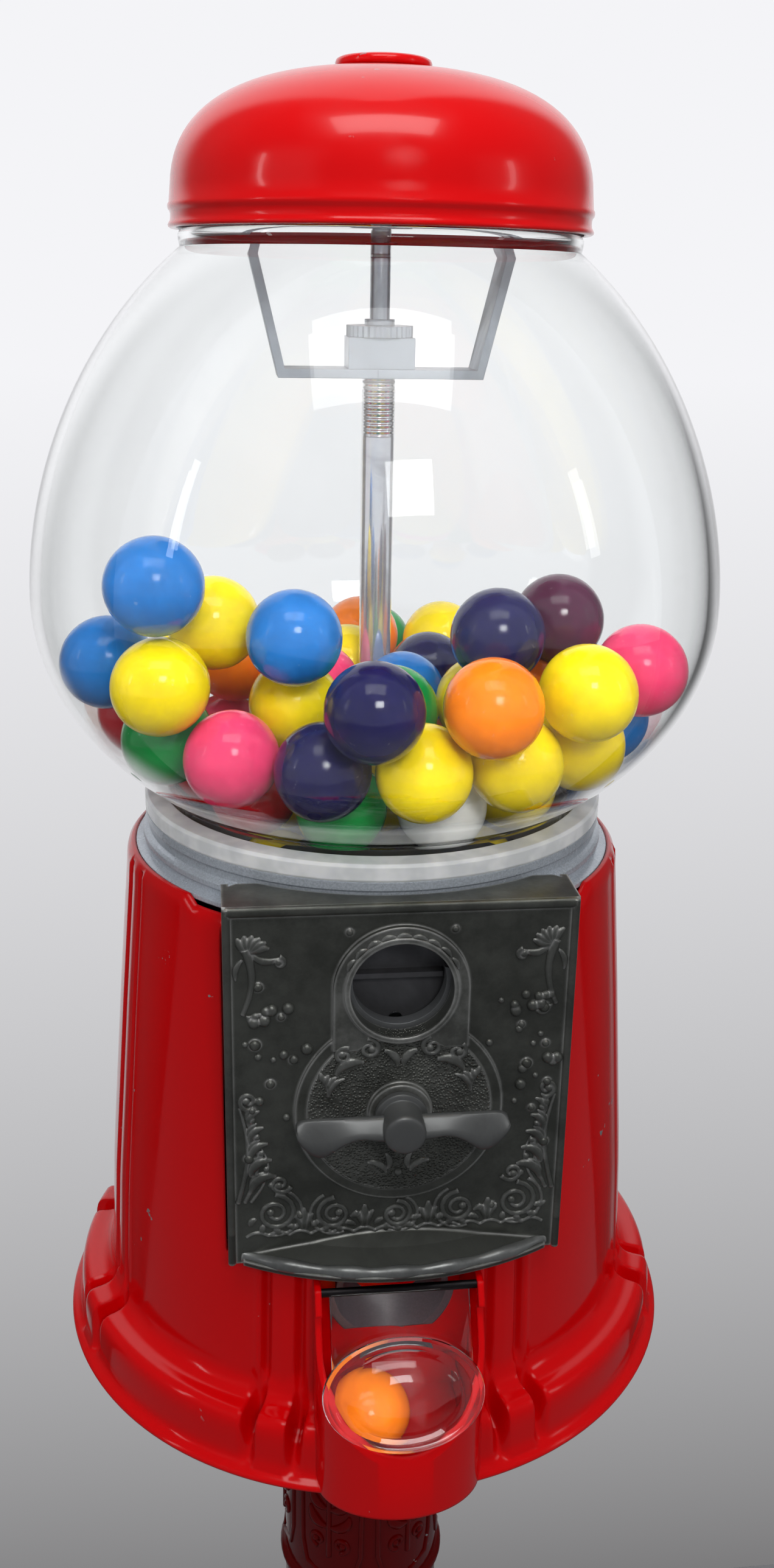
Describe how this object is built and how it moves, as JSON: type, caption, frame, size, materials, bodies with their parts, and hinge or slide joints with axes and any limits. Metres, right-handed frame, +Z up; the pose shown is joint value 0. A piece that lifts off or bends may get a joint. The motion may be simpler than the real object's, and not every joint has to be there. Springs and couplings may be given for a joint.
{
  "type": "gumball machine",
  "caption": "Pedestal gumball machine: glass globe of gumballs on a tapered body with coin plate, turn handle, geared dispensing wheel, chute and clear flap",
  "frame": {"origin": "centre of the underside of the foot ring, on the floor", "axes": "+Z up; the coin plate and chute face -Y; +X is to the right seen from the front"},
  "size_m": [0.28, 0.28, 0.94],
  "materials": {
    "stand_foot": "gloss red enamel on cast iron",
    "foot_ring": "matte black",
    "stand_post": "gloss red enamel",
    "stand_cap": "gloss red enamel",
    "stand_tie_rod": "zinc plated",
    "tie_rod_nut": "zinc plated",
    "cap_bolts": "zinc plated",
    "cap_nuts": "zinc plated",
    "base_body": "gloss red enamel on die-cast metal, small chips",
    "base_plate": "plain sheet",
    "body_screws": "zinc plated",
    "gum_chute": "moulded grey",
    "coin_plate": "dark antiqued zinc casting, edges rubbed bright",
    "mech_back_plate": "dull zinc",
    "mech_screws": "zinc plated",
    "coin_wheel": "die-cast, dull",
    "handle_shaft": "turned",
    "turn_handle": "die-cast, satin grey",
    "handle_nut": "zinc plated",
    "ratchet_wheel": "stamped",
    "shaft_pinion": "cut teeth",
    "idler_gear": "moulded white",
    "idler_pin": "turned",
    "ratchet_pawl": "stamped",
    "pawl_pin": "turned",
    "pawl_spring": "spring strip",
    "hopper_tray": "silver moulded",
    "gumball_wheel": "moulded black",
    "outlet_cover": "moulded black",
    "wheel_gumballs": "sugar shell",
    "globe_gasket": "translucent white",
    "globe": "clear",
    "center_rod": "threaded ends",
    "rod_base_nut": "zinc plated",
    "center_tube": "bright plated",
    "globe_bracket": "dull zinc plated",
    "clamp_block": "dull",
    "knurled_nut": "knurled edge",
    "rod_collar": "turned",
    "lid": "gloss red enamel",
    "lid_knob": "gloss red enamel",
    "flap_door": "clear moulded",
    "flap_pin": "plain",
    "gumballs_yellow": "sugar shell",
    "gumballs_blue": "sugar shell",
    "gumballs_navy": "sugar shell",
    "gumballs_orange": "sugar shell",
    "gumballs_pink": "sugar shell",
    "gumballs_green": "sugar shell",
    "gumballs_red": "sugar shell",
    "gumballs_white": "sugar shell",
    "gumballs_purple": "sugar shell",
    "chute_gumball": "sugar shell"
  },
  "bodies": {
    "base": {"stand_foot": "stand_foot", "foot_ring": "foot_ring", "stand_post": "stand_post", "stand_cap": "stand_cap", "stand_tie_rod": "stand_tie_rod", "tie_rod_nut": "tie_rod_nut", "cap_bolts": "cap_bolts", "cap_nuts": "cap_nuts", "base_body": "base_body", "base_plate": "base_plate", "body_screws": "body_screws", "gum_chute": "gum_chute", "coin_plate": "coin_plate", "mech_back_plate": "mech_back_plate", "mech_screws": "mech_screws", "idler_pin": "idler_pin", "pawl_pin": "pawl_pin", "pawl_spring": "pawl_spring", "hopper_tray": "hopper_tray", "outlet_cover": "outlet_cover", "globe_gasket": "globe_gasket", "globe": "globe", "center_rod": "center_rod", "rod_base_nut": "rod_base_nut", "center_tube": "center_tube", "globe_bracket": "globe_bracket", "clamp_block": "clamp_block", "knurled_nut": "knurled_nut", "rod_collar": "rod_collar", "flap_pin": "flap_pin", "gumballs_yellow": "gumballs_yellow", "gumballs_blue": "gumballs_blue", "gumballs_navy": "gumballs_navy", "gumballs_orange": "gumballs_orange", "gumballs_pink": "gumballs_pink", "gumballs_green": "gumballs_green", "gumballs_red": "gumballs_red", "gumballs_white": "gumballs_white", "gumballs_purple": "gumballs_purple", "chute_gumball": "chute_gumball"},
    "handle": {"coin_wheel": "coin_wheel", "handle_shaft": "handle_shaft", "turn_handle": "turn_handle", "handle_nut": "handle_nut", "ratchet_wheel": "ratchet_wheel", "shaft_pinion": "shaft_pinion"},
    "dispensing_wheel": {"gumball_wheel": "gumball_wheel", "wheel_gumballs": "wheel_gumballs"},
    "idler": {"idler_gear": "idler_gear"},
    "pawl": {"ratchet_pawl": "ratchet_pawl"},
    "lid": {"lid": "lid"},
    "knob": {"lid_knob": "lid_knob"},
    "flap": {"flap_door": "flap_door"}
  },
  "joints": [
    {"name": "handle_turn", "type": "hinge", "parent": "base", "child": "handle", "pos_m": [0, -0.08, 0.671], "axis": [0, 1, 0], "continuous": true},
    {"name": "idler_turn", "type": "hinge", "parent": "base", "child": "idler", "pos_m": [0, -0.054, 0.692], "axis": [0, 1, 0], "continuous": true},
    {"name": "dispensing_wheel_turn", "type": "hinge", "parent": "base", "child": "dispensing_wheel", "pos_m": [0, 0, 0.7149], "axis": [0, 0, 1], "continuous": true},
    {"name": "pawl_lift", "type": "hinge", "parent": "base", "child": "pawl", "pos_m": [0.025, -0.0664, 0.675], "axis": [0, -1, 0], "range_deg": [0, 8]},
    {"name": "flap_swing", "type": "hinge", "parent": "base", "child": "flap", "pos_m": [0, -0.0852, 0.6185], "axis": [-1, 0, 0], "range_deg": [0, 55]},
    {"name": "lid_lift", "type": "slide", "parent": "base", "child": "lid", "axis": [0, 0, 1], "range_m": [0, 0.12]},
    {"name": "knob_turn", "type": "hinge", "parent": "lid", "child": "knob", "pos_m": [0, 0, 0.937], "axis": [0, 0, 1], "continuous": true}
  ],
  "couplings": [
    {"joint": "idler_turn", "follows": "handle_turn", "ratio": -0.75},
    {"joint": "dispensing_wheel_turn", "follows": "handle_turn", "ratio": -0.16667}
  ]
}
